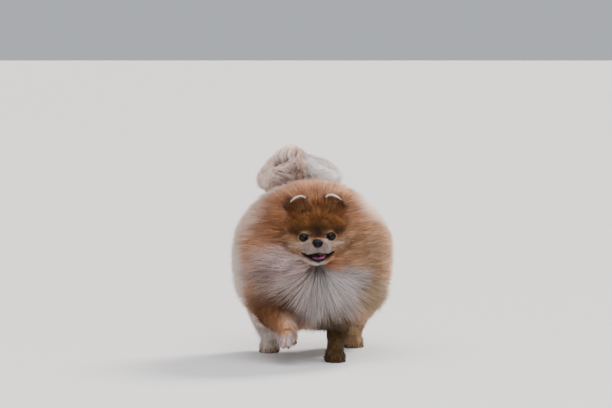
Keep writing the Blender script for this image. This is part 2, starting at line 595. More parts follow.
def skin_finish(name):
    """The woolly undercoat and the face's shortest fur: the coat's colour, with a bump of fine fibres."""
    finish = Finish(name, Specular_IOR_Level=0.15, Sheen_Weight=0.2, Sheen_Roughness=0.6)
    place = finish.attribute("place", "Vector")
    colour = face_colour(finish, coat_colour(finish), place)
    fibres = finish.noise(finish.vector("MULTIPLY", finish.place(), (1.0, 0.35, 1.0)), 900.0, 3.0)
    colour = finish.shade(colour, fibres * 0.40 + 0.62)
    finish.set(Base_Color=colour, Roughness=fibres * 0.2 + 0.7)
    finish.bump(fibres, 0.0012, 0.8)
    return finish.material


hair = hair_finish("coat hair")
print("the finish of the coat has", len(hair.node_tree.nodes), "nodes")

# %% [markdown]
# A hair is a thin three-sided prism along a parabola from its root, past a bend, to its tip. The export
# keeps meshes only, so each hair is real mesh. Roots are spread evenly over a form. The coat is parted into
# cells of a lock's size, and the hairs of one cell share their sway, their length and a part of their tip.

# %% Where hairs start and how they clump
def slopes(surface, a, t, step=1e-3):
    """The coat's outside at (a, t), with its slopes along and around, by central differences."""
    inside = np.clip(a, step, 1 - step)
    one = (surface(inside + step, t, 1.0) - surface(inside - step, t, 1.0)) / (2 * step)
    two = (surface(a, t + step, 1.0) - surface(a, t - step, 1.0)) / (2 * step)
    return surface(a, t, 1.0), one, two


def scatter(surface, count, along, around, draw, keep):
    """Places (a, t) drawn evenly by area, where keep gives a share for (a, t, outside)."""
    a, t = draw.uniform(*along, count * 5), draw.uniform(*around, count * 5)
    here, one, two = slopes(surface, a, t)
    weight = np.linalg.norm(np.cross(one, two), axis=-1) * keep(a, t, here)
    chosen = draw.choice(len(a), min(count, np.count_nonzero(weight)), replace=False, p=weight / weight.sum())
    return a[chosen], t[chosen]


def lock_cells(a, t, along, around, lengths, size, draw):
    """The middle of each hair's cell, and five draws that the hairs of a cell share."""
    rows, columns = (max(int(length / size), 1) for length in lengths)
    row = np.clip((a - along[0]) / (along[1] - along[0]) * rows, 0, rows - 1e-6).astype(int)
    shift = 0.5 * (row % 2)
    column = ((t - around[0]) / (around[1] - around[0]) * columns + shift).astype(int)
    shared = draw.random((rows, columns + 2, 5))[row, column]
    middle_a = along[0] + (row + 0.15 + 0.7 * shared[:, 0]) / rows * (along[1] - along[0])
    middle_t = around[0] + (column - shift + 0.15 + 0.7 * shared[:, 1]) / columns * (around[1] - around[0])
    return middle_a, middle_t, shared


ROUND = (0.0, 2 * np.pi)


def everywhere(a, t, here):
    """The same share at every place."""
    return np.ones(len(a))


trial, _ = scatter(body_surface, 1000, (0.0, 1.0), ROUND, np.random.default_rng(0), everywhere)
print("of 1000 hairs,", np.count_nonzero(trial < 0.5), "would start on the front half of the body")

# %% [markdown]
# How a lock lies is a direction in space. It is laid on the surface and solved into steps along and around
# it, which are two equations with two unknowns for every hair at once. spring then lets the tip leave the
# surface in a straight line, as a coat that stands off does.

# %% Growing hair
# Depths of the root, the bend and the tip, and a hair's width. Then the size of a cell of the coat and how
# much of the way to its middle a tip is drawn, the same for a tuft of several cells, how far a hair may turn,
# the spread of lengths, and how far the tip stands off
SOFT_COAT = {"root": 0.42, "bend": 0.96, "tip": (0.84, 1.07), "width": 0.0007, "lock": 0.0075, "pull": 0.5,
             "tuft": 0.022, "gather": 0.22, "sway": 0.20, "lengths": (0.78, 1.15), "spring": 0.35}


ABOVE_FLOOR = 0.001
# Where along its length a hair bends, and how much of its cell's draw and of its tuft's draw sways it
BEND_AT = 0.42
CELL_SWAY, TUFT_SWAY = 0.6, 0.4


def grow(surface, count, lie, run, seed, along=(0.0, 1.0), around=ROUND, keep=everywhere, **changes):
    """Arrays of hairs on surface(along, around, depth). lie gives directions, and run lengths, for places.

    Two steps, along and around, solve slopes . steps = way * reach. The tip is where they lead to, drawn to
    the middle of its cell and tuft, and lifted towards the straight line by spring.
    """
    style = {**SOFT_COAT, **changes}
    draw = np.random.default_rng(seed)
    a, t = scatter(surface, count, along, around, draw, keep)
    here, one, two = slopes(surface, a, t)
    lengths = [np.linalg.norm(slope, axis=-1).mean() * (high - low)
               for slope, (low, high) in ((one, along), (two, around))]
    middle_a, middle_t, shared = lock_cells(a, t, along, around, lengths, style["lock"], draw)
    tuft_a, tuft_t, tuft = lock_cells(a, t, along, around, lengths, style["tuft"], draw)
    out = unit(np.cross(two, one))
    way = lie(here)
    way = unit(way - out * (way * out).sum(-1, keepdims=True))
    sway = (CELL_SWAY * shared[:, 2] + TUFT_SWAY * tuft[:, 2] - 0.5) * 2 * style["sway"]
    sway = sway + draw.normal(0, style["sway"] * 0.35, len(a))
    way = unit(way + np.cross(out, way) * sway[:, None])
    reach = (run(here) if callable(run) else run) * draw.uniform(*style["lengths"], len(a))
    reach = reach * (0.85 + 0.30 * shared[:, 3])
    aa, at, tt = (one * one).sum(-1), (one * two).sum(-1), (two * two).sum(-1) + 1e-9
    along_way, around_way = (one * way).sum(-1), (two * way).sum(-1)
    determinant = aa * tt - at * at + 1e-12
    step_a = (tt * along_way - at * around_way) / determinant * reach
    step_t = np.clip((aa * around_way - at * along_way) / determinant * reach, -0.9, 0.9)
    share = 0.35 * shared[:, 4] + 0.35 * tuft[:, 4] + 0.3 * draw.random(len(a))
    high = style["tip"][0] + (style["tip"][1] - style["tip"][0]) * share
    drawn_a = style["pull"] * (middle_a - a) + style["gather"] * (tuft_a - a)
    drawn_t = style["pull"] * (middle_t - t) + style["gather"] * (tuft_t - t)
    end = surface(np.clip(a + step_a + drawn_a, 0, 1), t + step_t + drawn_t, high)
    straight = here + way * reach[:, None] + out * ((high - 1) * 0.03)[:, None]
    end = end + style["spring"] * (straight - end)
    end[:, 2] = np.maximum(end[:, 2], ABOVE_FLOOR)
    bend_a = np.clip(a + BEND_AT * step_a + 0.3 * drawn_a, 0, 1)
    bend_t = t + BEND_AT * step_t + 0.3 * drawn_t
    bend = surface(bend_a, bend_t, style["bend"] * (0.4 + 0.6 * high))
    return {
        "start": surface(a, t, style["root"]), "bend": bend, "end": end, "out": out,
        "width": style["width"] * draw.uniform(0.75, 1.2, len(a)), "place": 0.4 * here + 0.6 * end,
        "strand": draw.random(len(a)), "clump": 0.5 * shared[:, 3] + 0.5 * tuft[:, 3],
        "u": (t - around[0]) / (around[1] - around[0]), "v": (a - along[0]) / (along[1] - along[0]),
    }


# %% [markdown]
# Each hair becomes a prism of three sides that narrows to a point. Three corners are carried along its
# parabola, so a long hair takes 16 triangles and a short one 10. The map OFBake gives every hair its own
# small patch, at its root's place on the form, so that the colours of two hairs never mix.

# %% Hair as mesh
SECTION = np.radians([90, 210, 330])
# A hair's height as a share of its width
FLAT = 0.8
# Place along the hair, and share of its width there
LONG_HAIR = ((0.0, 0.75), (0.36, 1.0), (0.74, 0.60))
SHORT_HAIR = ((0.0, 0.9), (0.5, 0.75))
# Size of a hair's patch on the map
PATCH = 0.003


def hair_piece(name, hairs, finish, shape=LONG_HAIR):
    """Prisms round start * (1 - t)^2 + bend * 2t(1 - t) + end * t^2, with three corners to a ring."""
    t, share = (np.array(column) for column in zip(*shape))
    places = np.append(np.repeat(t, 3), 1.0)
    t, share = t[None, :, None], share[None, :, None]
    start, bend, end = (hairs[key][:, None] for key in ("start", "bend", "end"))
    middle = start * (1 - t) ** 2 + bend * (2 * t * (1 - t)) + end * t ** 2
    ahead = unit((bend - start) * (1 - t) + (end - bend) * t)
    side = unit(np.cross(ahead, hairs["out"][:, None]))
    up = np.cross(side, ahead)
    size = hairs["width"][:, None, None] * share * 0.5
    rings = [middle + side * (size * np.cos(c)) + up * (size * np.sin(c) * FLAT) for c in SECTION]
    count, levels = len(start), len(shape)
    points = np.concatenate([np.stack(rings, 2).reshape(count, -1, 3), end], 1)
    k, after = np.arange(3), (np.arange(3) + 1) % 3
    below = np.arange(0, 3 * levels - 3, 3)[:, None]
    walls = np.concatenate([np.stack([below + k, below + after, below + 3 + after], -1),
                            np.stack([below + k, below + 3 + after, below + 3 + k], -1)]).reshape(-1, 3)
    top = 3 * levels - 3
    faces = np.concatenate([walls, np.stack([top + k, top + after, np.full(3, top + 3)], -1), [[2, 1, 0]]])
    faces = (faces[None] + (np.arange(count) * len(places))[:, None, None]).reshape(-1, 3)
    piece = mesh_piece(name, points.reshape(-1, 3), faces)
    piece.data.materials.append(finish)
    add_value(piece, "along", np.tile(places, count))
    for key in ("place", "strand", "clump"):
        add_value(piece, key, np.repeat(hairs[key], len(places), axis=0))
    corner = np.append(np.tile([0.0, 0.5, 1.0], levels), 0.5)
    across, down = hairs["u"][:, None] * 0.99, hairs["v"][:, None] * 0.99
    patch = np.stack([across + corner * PATCH, down + places * PATCH], -1)
    layer = piece.data.uv_layers.new(name="OFBake")
    layer.uv.foreach_set("vector", patch.reshape(-1, 2)[faces.ravel()].astype(np.float32).ravel())
    print(f"{name}: {count} hairs, {len(faces)} triangles")
    return piece


# %% [markdown]
# One skin lies under the coat: the body, the limbs and the tail at the depth where the hair starts, and the
# head at the depth of its own short fur. It takes the place of all the solids of flesh.

# %% The skin
def skin_part(surface, rings, sides, depth=0.40, ends=(0.0, 1.0)):
    """Points, triangles and coat places of one form of the skin."""
    points, faces = closed_form(lambda a, t: surface(a, t, depth), rings, sides, ends)
    places, _ = closed_form(lambda a, t: surface(a, t, 1.0), rings, sides, ends)
    return points, faces, places


FLESH = ("head", "jaw", "neck", "torso", "tail", *LEGS)
parts = [skin_part(body_surface, 60, 64), skin_part(head_surface, 150, 144, 0.0),
         skin_part(jaw_surface, 48, 48, 0.0), skin_part(tail_tube, 40, 32)]
parts += [skin_part(limb_surface(stations), 36, 28) for stations in LEGS.values()]
offsets = np.cumsum([0] + [len(points) for points, _, _ in parts])
skin = mesh_piece("skin", np.concatenate([p for p, _, _ in parts]),
                  np.concatenate([f + o for (_, f, _), o in zip(parts, offsets)]), FLESH)
skin.data.materials.append(skin_finish("undercoat"))
add_value(skin, "place", np.concatenate([q for _, _, q in parts]))
add_value(skin, "clump", np.full(len(skin.data.vertices), 0.5))
print("skin:", len(skin.data.polygons), "triangles, seconds so far", round(time.time() - began, 1))

# %% [markdown]
# The ruff fans out from a line down the middle of the face, and its tips stand off where it turns back.
# Over the back and flanks the coat runs backwards, and it hangs at the rump.

# %% The coat of the body
FAN_X = 0.008
THROAT_Z = 0.131
CROWN_Z = 0.205


def body_lie(places):
    """Away from the nearest point of the face's middle line, backwards, and down towards the rump."""
    x, y, z = places.T
    from_line = unit(np.stack([x - FAN_X, z - np.clip(z, THROAT_Z, CROWN_Z)], -1))
    hang = 0.12 + 1.1 * smooth_step(0.02, 0.11, y)
    return np.stack([from_line[:, 0], 1.0 - 0.4 * smooth_step(0.05, 0.12, y), from_line[:, 1] - hang], -1)


def body_run(places):
    """Long over the ruff and chest, shorter over the back, belly and rump."""
    y, z = places[:, 1], places[:, 2]
    return 0.046 - 0.014 * smooth_step(-0.06, 0.06, y) - 0.008 * smooth_step(0.09, 0.05, z)


# Shares of the head past which the body's hair starts, and at which its roots are set
CLEAR_OF_HEAD = 1.03
ROOT_IN_HEAD = 0.93


def clear_of_head(a, t, here):
    """1 outside the head, 0 inside it."""
    return share_of_head(here) > CLEAR_OF_HEAD


def root_on_head(hairs):
    """Moves the roots that would be inside the head out to its surface: the ruff grows round the face."""
    local = to_head(hairs["start"])
    share = share_of_head(hairs["start"])
    row = read_rows(HEAD_RINGS, np.interp(local[:, 1], HEAD_Y, np.linspace(0, 1, len(HEAD_Y))))
    middle = np.stack([np.zeros(len(local)), local[:, 1], row[:, 1]], -1)
    moved = middle + (local - middle) * (ROOT_IN_HEAD / np.maximum(share, 1e-3))[:, None]
    inside = (share < ROOT_IN_HEAD)[:, None]
    hairs["start"] = np.where(inside, from_head(moved), hairs["start"])
    hairs["bend"] = np.where(inside, hairs["bend"] * 0.75 + 0.25 * hairs["start"], hairs["bend"])
    return hairs


# Hairs, and the span along and around the body that they grow on
BODY_HAIR = {"crown": (6500, (0.0, 0.45), (-0.8, 0.8)), "ruff_left": (8000, (0.0, 0.45), (0.8, 2.35)),
             "chest": (7500, (0.0, 0.45), (2.35, 3.95)), "ruff_right": (8000, (0.0, 0.45), (3.95, 5.48)),
             "back": (5000, (0.45, 1.0), (-0.8, 0.8)), "flank_left": (6000, (0.45, 1.0), (0.8, 2.35)),
             "belly": (3500, (0.45, 1.0), (2.35, 3.95)), "flank_right": (6000, (0.45, 1.0), (3.95, 5.48))}
for seed, (name, (count, along, around)) in enumerate(BODY_HAIR.items()):
    hairs = grow(body_surface, count, body_lie, body_run, seed, along, around, keep=clear_of_head)
    hair_piece("coat_" + name, root_on_head(hairs), hair, SHORT_HAIR if seed > 3 else LONG_HAIR)

# Loose tips that stand out round the widest part of the ruff
LOOSE = {"tip": (0.98, 1.12), "spring": 0.9, "sway": 0.3, "gather": 0.5, "tuft": 0.014, "width": 0.00055}
rim = grow(body_surface, 2200, body_lie, 0.034, 12, (0.24, 0.56), keep=clear_of_head, **LOOSE)
hair_piece("coat_rim", rim, hair)

# %% [markdown]
# The legs are feathered: their hair points down the limb and stands a little away from it at both sides. It
# is longest behind the lifted forearm and at the thighs, and ends where the paws' short fur begins.

# %% The coat of the legs
LEG_SPREAD, LEG_DROP = 0.45, 0.15
LEG_FUR = {"width": 0.00062, "lock": 0.006, "tuft": 0.014, "spring": 0.6}


def down_limb(stations):
    """The way of the nearest piece of a limb's middle line, with a part outwards and a part down."""
    points = np.array([point for point, *_ in stations])

    def lie(places):
        nearest = np.linalg.norm(places[:, None] - points[None, :-1], axis=-1).argmin(1)
        outwards = unit((places - points[nearest]) * (1, 0, 0))
        return unit(np.diff(points, axis=0))[nearest] + LEG_SPREAD * outwards - np.array([0, 0, LEG_DROP])
    return lie


# Hairs, their length, and depths of their tips
LEG_HAIR = {"foreleg_left": (4500, 0.024, (0.9, 1.70)), "foreleg_right": (7000, 0.028, (0.9, 1.45)),
            "hindleg_left": (4500, 0.028, (0.9, 1.40)), "hindleg_right": (5000, 0.030, (0.9, 1.45))}
for seed, (name, (count, run, tips)) in enumerate(LEG_HAIR.items()):
    surface, lie = limb_surface(LEGS[name]), down_limb(LEGS[name])
    hairs = grow(surface, count, lie, run, 30 + seed, (0.05, 0.97), tip=tips, **LEG_FUR)
    hair_piece("coat_" + name, hairs, hair, SHORT_HAIR)

# %% [markdown]
# The tail lies over the back. Its hair parts along the tail's own middle line and falls to both sides as a
# plume, and the longest hair, under its two edges, hangs down to the back. Its tip curls up in a crest of
# its own.

# %% The coat of the tail
TAIL_PARTING = -0.019
TAIL_HALF = 0.050


def tail_lie(places):
    """Up the tail where it rises, then out from the parting, forwards, and down at both edges."""
    x, y, z = places.T
    aside = (x - TAIL_PARTING) / TAIL_HALF
    droop = 0.15 - 1.1 * np.minimum(aside ** 2, 1.5)
    fan = np.stack([np.clip(1.6 * aside, -1, 1), np.full(len(x), -0.40), droop], -1)
    rise = np.stack([0.5 * aside, 0.1 + 0 * y, 1 + 0 * z], -1)
    share = smooth_step(0.215, 0.250, z)[:, None]
    return fan * share + rise * (1 - share)


def plume_surface(along, around, depth):
    """The tail's tube, lowered to the left of its parting and at its right edge."""
    points = tail_tube(along, around, depth)
    aside = points[..., 0] - TAIL_PARTING
    lower = 0.006 * smooth_step(0.0, 0.012, aside) + 0.12 * np.maximum(aside, 0)
    lower = lower + 0.45 * np.maximum(-0.024 - aside, 0)
    points[..., 2] -= lower * smooth_step(0.3, 0.6, along)
    return points


hairs = grow(plume_surface, 8500, tail_lie, 0.040, 20, (0.05, 1.0), tip=(0.86, 1.04), lock=0.009, spring=0.12,
             sway=0.15)
hair_piece("coat_tail", hairs, hair)


def under_tail_edges(a, t, here):
    """The two edges and the underside of the tail, away from its root."""
    return smooth_step(0.45, -0.2, np.cos(t)) * smooth_step(0.1, 0.3, a) * (1 + (here[..., 0] < TAIL_PARTING))


def fringe_lie(places):
    """Down, a little forwards, and outwards to the right of the parting."""
    right = places[:, 0] < TAIL_PARTING
    return np.stack([-0.20 * right, np.full(len(right), -0.10), np.full(len(right), -1.0)], -1)


# The fringe hangs free, so its roots keep their places and its bends and tips are set by how it falls
ROOTS_OUT, BEND_OUT, TIPS_OUT = 0.019, 0.013, 0.010
FALL, LOCK_FALL, RIGHT_FALL = 0.044, 0.020, 0.5
SIDEWAYS = np.array([1, 1, 0])
fringe = grow(plume_surface, 5100, fringe_lie, 0.05, 21, (0.08, 0.95), keep=under_tail_edges, lock=0.010,
              pull=0.3)
right = (fringe["start"][:, :1] < TAIL_PARTING) * 1.0
fringe["start"] = fringe["start"] + ROOTS_OUT * right * fringe["out"] * SIDEWAYS
fall = fringe_lie(fringe["start"]) * (FALL + LOCK_FALL * fringe["clump"])[:, None]
fall = fall * (1 + RIGHT_FALL * right)
fringe["end"] = fringe["start"] + fall + TIPS_OUT * fringe["out"] * (fringe["strand"] - 0.3)[:, None]
fringe["bend"] = fringe["start"] + 0.4 * fall + BEND_OUT * fringe["out"] * SIDEWAYS
fringe["place"] = 0.6 * fringe["end"] + 0.4 * fringe["bend"]
hair_piece("coat_tail_fringe", fringe, hair)


CREST_AT = np.array([-0.036, -0.016, 0.277])
CREST_REACH = 0.018
CREST_LOCK = 0.004
# From its root, how far the middle hair of the crest has come at its bend and at its tip
CREST_BEND = np.array([-0.011, -0.006, 0.021])
CREST_TIP = np.array([0.008, 0.002, 0.026])


def tail_crest(count, seed):
    """Hairs from a disc round the tail's end that rise, lean over to the dog's left, and meet in a crest."""
    draw = np.random.default_rng(seed)
    reach, turn = CREST_REACH * np.sqrt(draw.random(count)), draw.uniform(0, 2 * np.pi, count)
    across, deep = reach * np.cos(turn), reach * np.sin(turn)
    start = CREST_AT + np.stack([across, 0.8 * deep, -0.25 * np.abs(across)], -1)
    lock = np.floor(across / CREST_LOCK) * 0.618 % 1
    grown = draw.uniform(0.80, 1.05, count)[:, None] * (0.88 + 0.16 * lock)[:, None]
    bend = start + (CREST_BEND + np.stack([0.1 * across, 0 * deep, -0.1 * np.abs(across)], -1)) * grown
    end = start + (CREST_TIP + np.stack([-0.45 * across, -0.4 * deep, -0.15 * np.abs(across)], -1)) * grown
    end = end + draw.normal(0, 0.0012, (count, 3))
    return {"start": start, "bend": bend, "end": end, "out": np.tile([0.0, -1.0, 0.2], (count, 1)),
            "width": 0.0007 * draw.uniform(0.75, 1.2, count), "place": 0.5 * (bend + end),
            "strand": draw.random(count), "clump": lock, "u": draw.random(count), "v": draw.random(count)}


hair_piece("coat_tail_crest", tail_crest(2200, 22), hair)

# %% [markdown]
# The head's fur is the shortest. It runs back from the nose, lies flat on the muzzle and stands thick over
# the forehead and cheeks, where it meets the ruff.

# %% The coat of the head
NOSE_TIP = np.array([0.0, -0.034, -0.004])


def head_lie(places):
    """Back and outwards from the tip of the nose."""
    way = unit(to_head(places) - NOSE_TIP) + np.array([0.0, 0.15, 0.0])
    return way @ HEAD_TURN.T


def head_run(places):
    """Short on the muzzle and round the eyes, longest at the cheeks and the crown."""
    local = to_head(places)
    behind, aside = smooth_step(-0.010, 0.030, local[:, 1]), smooth_step(0.020, 0.040, np.abs(local[:, 0]))
    return 0.0035 + 0.016 * behind + 0.006 * aside


# Half width and half height of the bare place round each eye
BARE = (0.0078, 0.0070)


def off_the_eyes(a, t, here):
    """1 outside an oval round each eye, 0 inside it."""
    local = to_head(here)
    return np.hypot((np.abs(local[:, 0]) - EYE_AT[0]) / BARE[0], (local[:, 2] - EYE_AT[2]) / BARE[1]) > 1.0


face_hair = hair_finish("face hair", face=True)
SHORT_FUR = {"root": -0.1, "bend": 1.0, "width": 0.00042, "lock": 0.0035, "pull": 0.3, "tuft": 0.009,
             "gather": 0.1, "sway": 0.12, "spring": 0.5}
# Hairs, the span along the head that they grow on, and depths of their tips
FACE_HAIR = {"face": (12000, (0.02, 0.60), (0.9, 1.2)), "scalp": (8000, (0.54, 0.93), (0.9, 1.9))}
for seed, (name, (count, along, tips)) in enumerate(FACE_HAIR.items()):
    hairs = grow(head_surface, count, head_lie, head_run, 40 + seed, along, keep=off_the_eyes, tip=tips,
                 **SHORT_FUR)
    hair_piece("coat_" + name, hairs, face_hair, SHORT_HAIR)
UNDER_JAW = (np.pi / 2 - 0.1, 1.5 * np.pi + 0.1)
hairs = grow(jaw_surface, 3200, head_lie, head_run, 44, (0.04, 0.85), UNDER_JAW, tip=(0.9, 1.3), **SHORT_FUR)
hair_piece("coat_jaw", hairs, face_hair, SHORT_HAIR)
print("seconds so far", round(time.time() - began, 1))

# %% [markdown]
# An eye is a ball in its socket, of which only the opening between the lids shows: a black pupil in an iris
# that is nearly black, under a clear wet cornea. A separate cornea would need glass, which the export can't
# bake, so the ball itself bulges at the front and its thin clear coat gives the reflections.

# %% Eyeballs
GAZE_OUT = np.radians(6)
GAZE = unit(np.array([np.sin(GAZE_OUT), -np.cos(GAZE_OUT), 0.02]))
EYE_UP = unit(np.array([0.0, 0.0, 1.0]) - GAZE * GAZE[2])
EYE_ACROSS = np.cross(EYE_UP, GAZE) * -1


def round_the_gaze(turn, around, reach):
    """The left eye's middle + reach * (gaze * cos(turn) + aside * sin(turn)). aside goes round the gaze."""
    aside = EYE_ACROSS * np.cos(around)[..., None] + EYE_UP * np.sin(around)[..., None]
    return EYE_MIDDLE + reach[..., None] * (GAZE * np.cos(turn)[..., None] + aside * np.sin(turn)[..., None])


def eyeball(along, around):
    """A ball from the cornea's middle to the back, 5 % higher over the cornea as exp(-(turn / 0.55)^2)."""
    turn = along * np.pi
    return round_the_gaze(turn, around, EYE_RADIUS * (1 + 0.05 * np.exp(-(turn / 0.55) ** 2)))


def eye_finish():
    """Pupil, iris and the dark rim round it, by the turn away from the gaze."""
    finish = Finish("eye", Roughness=0.15, Coat_Weight=0.32, Coat_Roughness=0.03, Specular_IOR_Level=0.02)
    turn = finish.attribute("turn")
    fibres = finish.noise(finish.vector("MULTIPLY", finish.place(), (1.0, 1.0, 0.4)), 2600.0, 3.0)
    iris = finish.mix(fibres, (0.004, 0.002, 0.002), (0.012, 0.006, 0.004))
    colour = finish.mix(finish.step(turn, 0.30, 0.36), (0.002, 0.002, 0.002), iris)
    colour = finish.mix(finish.step(turn, 0.62, 0.74), colour, (0.006, 0.004, 0.004))
    finish.set(Base_Color=colour)
    return finish.material


def on_side(surface, side):
    """The same surface of the head's frame for the left (1) or right (-1) side, in the dog's frame."""
    return lambda along, around: from_head(surface(along, around) * np.array([side, 1, 1]))


eye_glass = eye_finish()
BALL_RINGS, BALL_SIDES, BALL_ENDS = 40, 48, (0.004, 0.996)
for side, name in ((1, "eye_left"), (-1, "eye_right")):
    points, faces = closed_form(on_side(eyeball, side), BALL_RINGS, BALL_SIDES, BALL_ENDS)
    piece = mesh_piece("eyeball_" + name[4:], points, faces, (name,))
    piece.data.materials.append(eye_glass)
    turns = np.repeat(np.linspace(*BALL_ENDS, BALL_RINGS) * np.pi, BALL_SIDES)
    add_value(piece, "turn", np.append(turns, (0, np.pi)))
print("eyeballs:", round(2000 * EYE_RADIUS, 1), "mm across,", round(1000 * EYE_SPACING, 1), "mm apart")

# %% [markdown]
# The lids are a collar round each eye. Its edge is dark, bare and damp, drawn out to a point at the inner
# corner, and its outside slopes away under the fur. One loop of profile, carried round the eye, makes it a
# closed ring.

# %% Eyelids
LID_OPENING = (0.0051, 0.0045)
LID_CLOSE = 0.94
# Turn past the edge of the opening, and distance from the eye's middle: over the lid, and back under it
LID_PROFILE = (
    (-0.02, 0.008), (0.0, 0.0086), (0.04, 0.0089), (0.12, 0.009), (0.28, 0.0089), (0.52, 0.0084),
    (0.6, 0.0078), (0.4, 0.008), (0.15, 0.0081), (0.02, 0.0078),
)


def collar_faces(rings, sides):
    """Triangles of a grid that is closed both ways."""
    ring, side = np.meshgrid(np.arange(rings), np.arange(sides), indexing="ij")
    a, b = ring * sides + side, ring * sides + (side + 1) % sides
    c, d = ((ring + 1) % rings) * sides + side, ((ring + 1) % rings) * sides + (side + 1) % sides
    return np.concatenate([np.stack([a, b, d], -1).reshape(-1, 3), np.stack([a, d, c], -1).reshape(-1, 3)])


def lid_collar(along, around):
    """Round the gaze: the turn is asin(opening / radius) plus the profile's. Both corners are drawn out."""
    wide, high = LID_OPENING
    opening = 1 / np.hypot(np.cos(around) / wide, np.sin(around) / high)
    inner = np.exp(-(np.angle(np.exp(1j * (around - np.pi - 0.15))) / 0.30) ** 2)
    outer = np.exp(-(np.angle(np.exp(1j * (around + 0.1))) / 0.35) ** 2)
    opening = opening + 0.0009 * inner + 0.0004 * outer
    table = np.array(LID_PROFILE)
    place = along * len(table)
    first = place.astype(int)
    start, end = table[first % len(table)], table[(first + 1) % len(table)]
    row = start + (place - first)[..., None] * (end - start)
    return round_the_gaze(np.arcsin(opening / EYE_RADIUS * LID_CLOSE) + row[..., 0], around, row[..., 1])


def lid_finish():
    """Bare dark skin at the edge, and the face's colours further out."""
    finish = Finish("eyelid", Specular_IOR_Level=0.12)
    place = finish.attribute("place", "Vector")
    colour = face_colour(finish, coat_colour(finish), place)
    grain = finish.noise(finish.place(), 1800.0, 3.0)
    edge = finish.attribute("edge")
    colour = finish.mix(edge, finish.shade(colour, grain * 0.4 + 0.5), (0.010, 0.006, 0.005))
    finish.set(Base_Color=colour, Roughness=0.75 - edge * 0.40)
    finish.bump(grain, 0.0003, 0.5)
    return finish.material


lid_skin = lid_finish()
LID_RINGS, LID_SIDES = 40, 64
along, around = ring_grid(np.arange(LID_RINGS) / LID_RINGS, LID_SIDES)
for side, name in ((1, "left"), (-1, "right")):
    points = on_side(lid_collar, side)(along, around)
    faces = outward(points, collar_faces(LID_RINGS, LID_SIDES), points[:1].mean(1))
    piece = mesh_piece("eyelids_" + name, points.reshape(-1, 3), faces)
    piece.data.materials.append(lid_skin)
    add_value(piece, "place", points.reshape(-1, 3))
    add_value(piece, "clump", np.full(along.size, 0.5))
    add_value(piece, "edge", smooth_step(0.40, 0.26, along).ravel())
print("lids open", round(2000 * LID_OPENING[0], 1), "by", round(2000 * LID_OPENING[1], 1), "mm")

# %% [markdown]
# The nose is bare leather: a broad pad with a flat top, two comma-shaped nostrils and a groove between
# them. Its skin is a mosaic of little plates, which a bump over Voronoi cells gives at their real size of
# under a millimetre.

# %% Nose
NOSE_AT = np.array([0.0, -0.0292, -0.0072])
NOSE_SIZE = np.array([0.0074, 0.0054, 0.0060])
# Middle (x, z), radii (x, z) and how far it is sunk
NOSE_DENTS = (
    ((0.0036, -0.0006), (0.0017, 0.0015), 0.0034), ((0.0054, -0.0018), (0.0014, 0.0007), 0.001),
    ((0.0, -0.0032), (0.0006, 0.0034), 0.0009),
)


def nose_shape(along, around):
    """A ball from front to back, wider over its middle than under it, less dents of exp(-distance^2)."""
    turn = along * np.pi
    ball = np.stack([np.sin(turn) * np.cos(around), -np.cos(turn), np.sin(turn) * np.sin(around)], -1)
    ball = np.sign(ball) * np.abs(ball) ** np.array([0.92, 0.90, 0.88])
    points = ball * NOSE_SIZE
    points[..., 0] = points[..., 0] * (1 + 0.10 * ball[..., 2] - 0.05 * smooth_step(0.0, -1.0, ball[..., 2]))
    front = smooth_step(0.6, 0.4, along)
    for (x, z), (wide, high), deep in NOSE_DENTS:
        for side in (1, -1) if x else (1,):
            near = np.exp(-((points[..., 0] - side * x) / wide) ** 2 - ((points[..., 2] - z) / high) ** 2)
            points[..., 1] += deep * near * front
    return NOSE_AT + points


def leather_finish(name, colour, shine, cell=1100.0):
    """Bare skin: small plates with dark seams, a little shine, and a damp coat."""
    finish = Finish(name, Coat_Weight=shine, Coat_Roughness=0.22, Specular_IOR_Level=0.10)
    cells = {"Vector": finish.place(), "Scale": cell}
    plates = finish.step(finish.node("TexVoronoi", {"feature": "DISTANCE_TO_EDGE"}, cells), 0.0, 0.28)
    colour = finish.shade(finish.plain(colour), plates * 0.7 + 0.5)
    finish.set(Base_Color=colour, Roughness=0.50 - plates * 0.12)
    finish.bump(plates, 0.00025, 0.7)
    return finish.material


leather = leather_finish("nose leather", (0.005, 0.005, 0.009), 0.12)
points, faces = closed_form(lambda a, t: from_head(nose_shape(a, t)), 90, 120, (0.003, 0.997))
nose = mesh_piece("nose_pad", points, faces, ("nose",))
nose.data.materials.append(leather)
print("nose:", (2000 * NOSE_SIZE).round(1), "mm")

# %% [markdown]
# The mouth is open in a smile. Dark lips run round it as one rope, thin above and at the corners and thicker
# in the middle of the lower jaw. The path of one side is given, and its mirror image closes it.

# %% Lips
# Half of the upper lip from its middle to the corner, then the lower lip back to the middle: x, y, z, half
# height and half width of the rope
LIP_PATH = (
    (0.0, -0.0262, -0.021, 0.0008, 0.0008), (0.0044, -0.0256, -0.0219, 0.0008, 0.0008),
    (0.0092, -0.0226, -0.0225, 0.0009, 0.001), (0.0138, -0.0174, -0.0222, 0.0009, 0.001),
    (0.0176, -0.0116, -0.0216, 0.0009, 0.0011), (0.0204, -0.007, -0.0212, 0.0009, 0.0011),
    (0.0221, -0.0036, -0.0213, 0.0008, 0.0011), (0.0202, -0.0066, -0.0226, 0.0009, 0.0011),
    (0.0166, -0.0112, -0.0246, 0.001, 0.0011), (0.0116, -0.0168, -0.0274, 0.0014, 0.0012),
    (0.006, -0.0214, -0.0306, 0.002, 0.0013), (0.0, -0.0232, -0.0318, 0.0024, 0.0013),
)


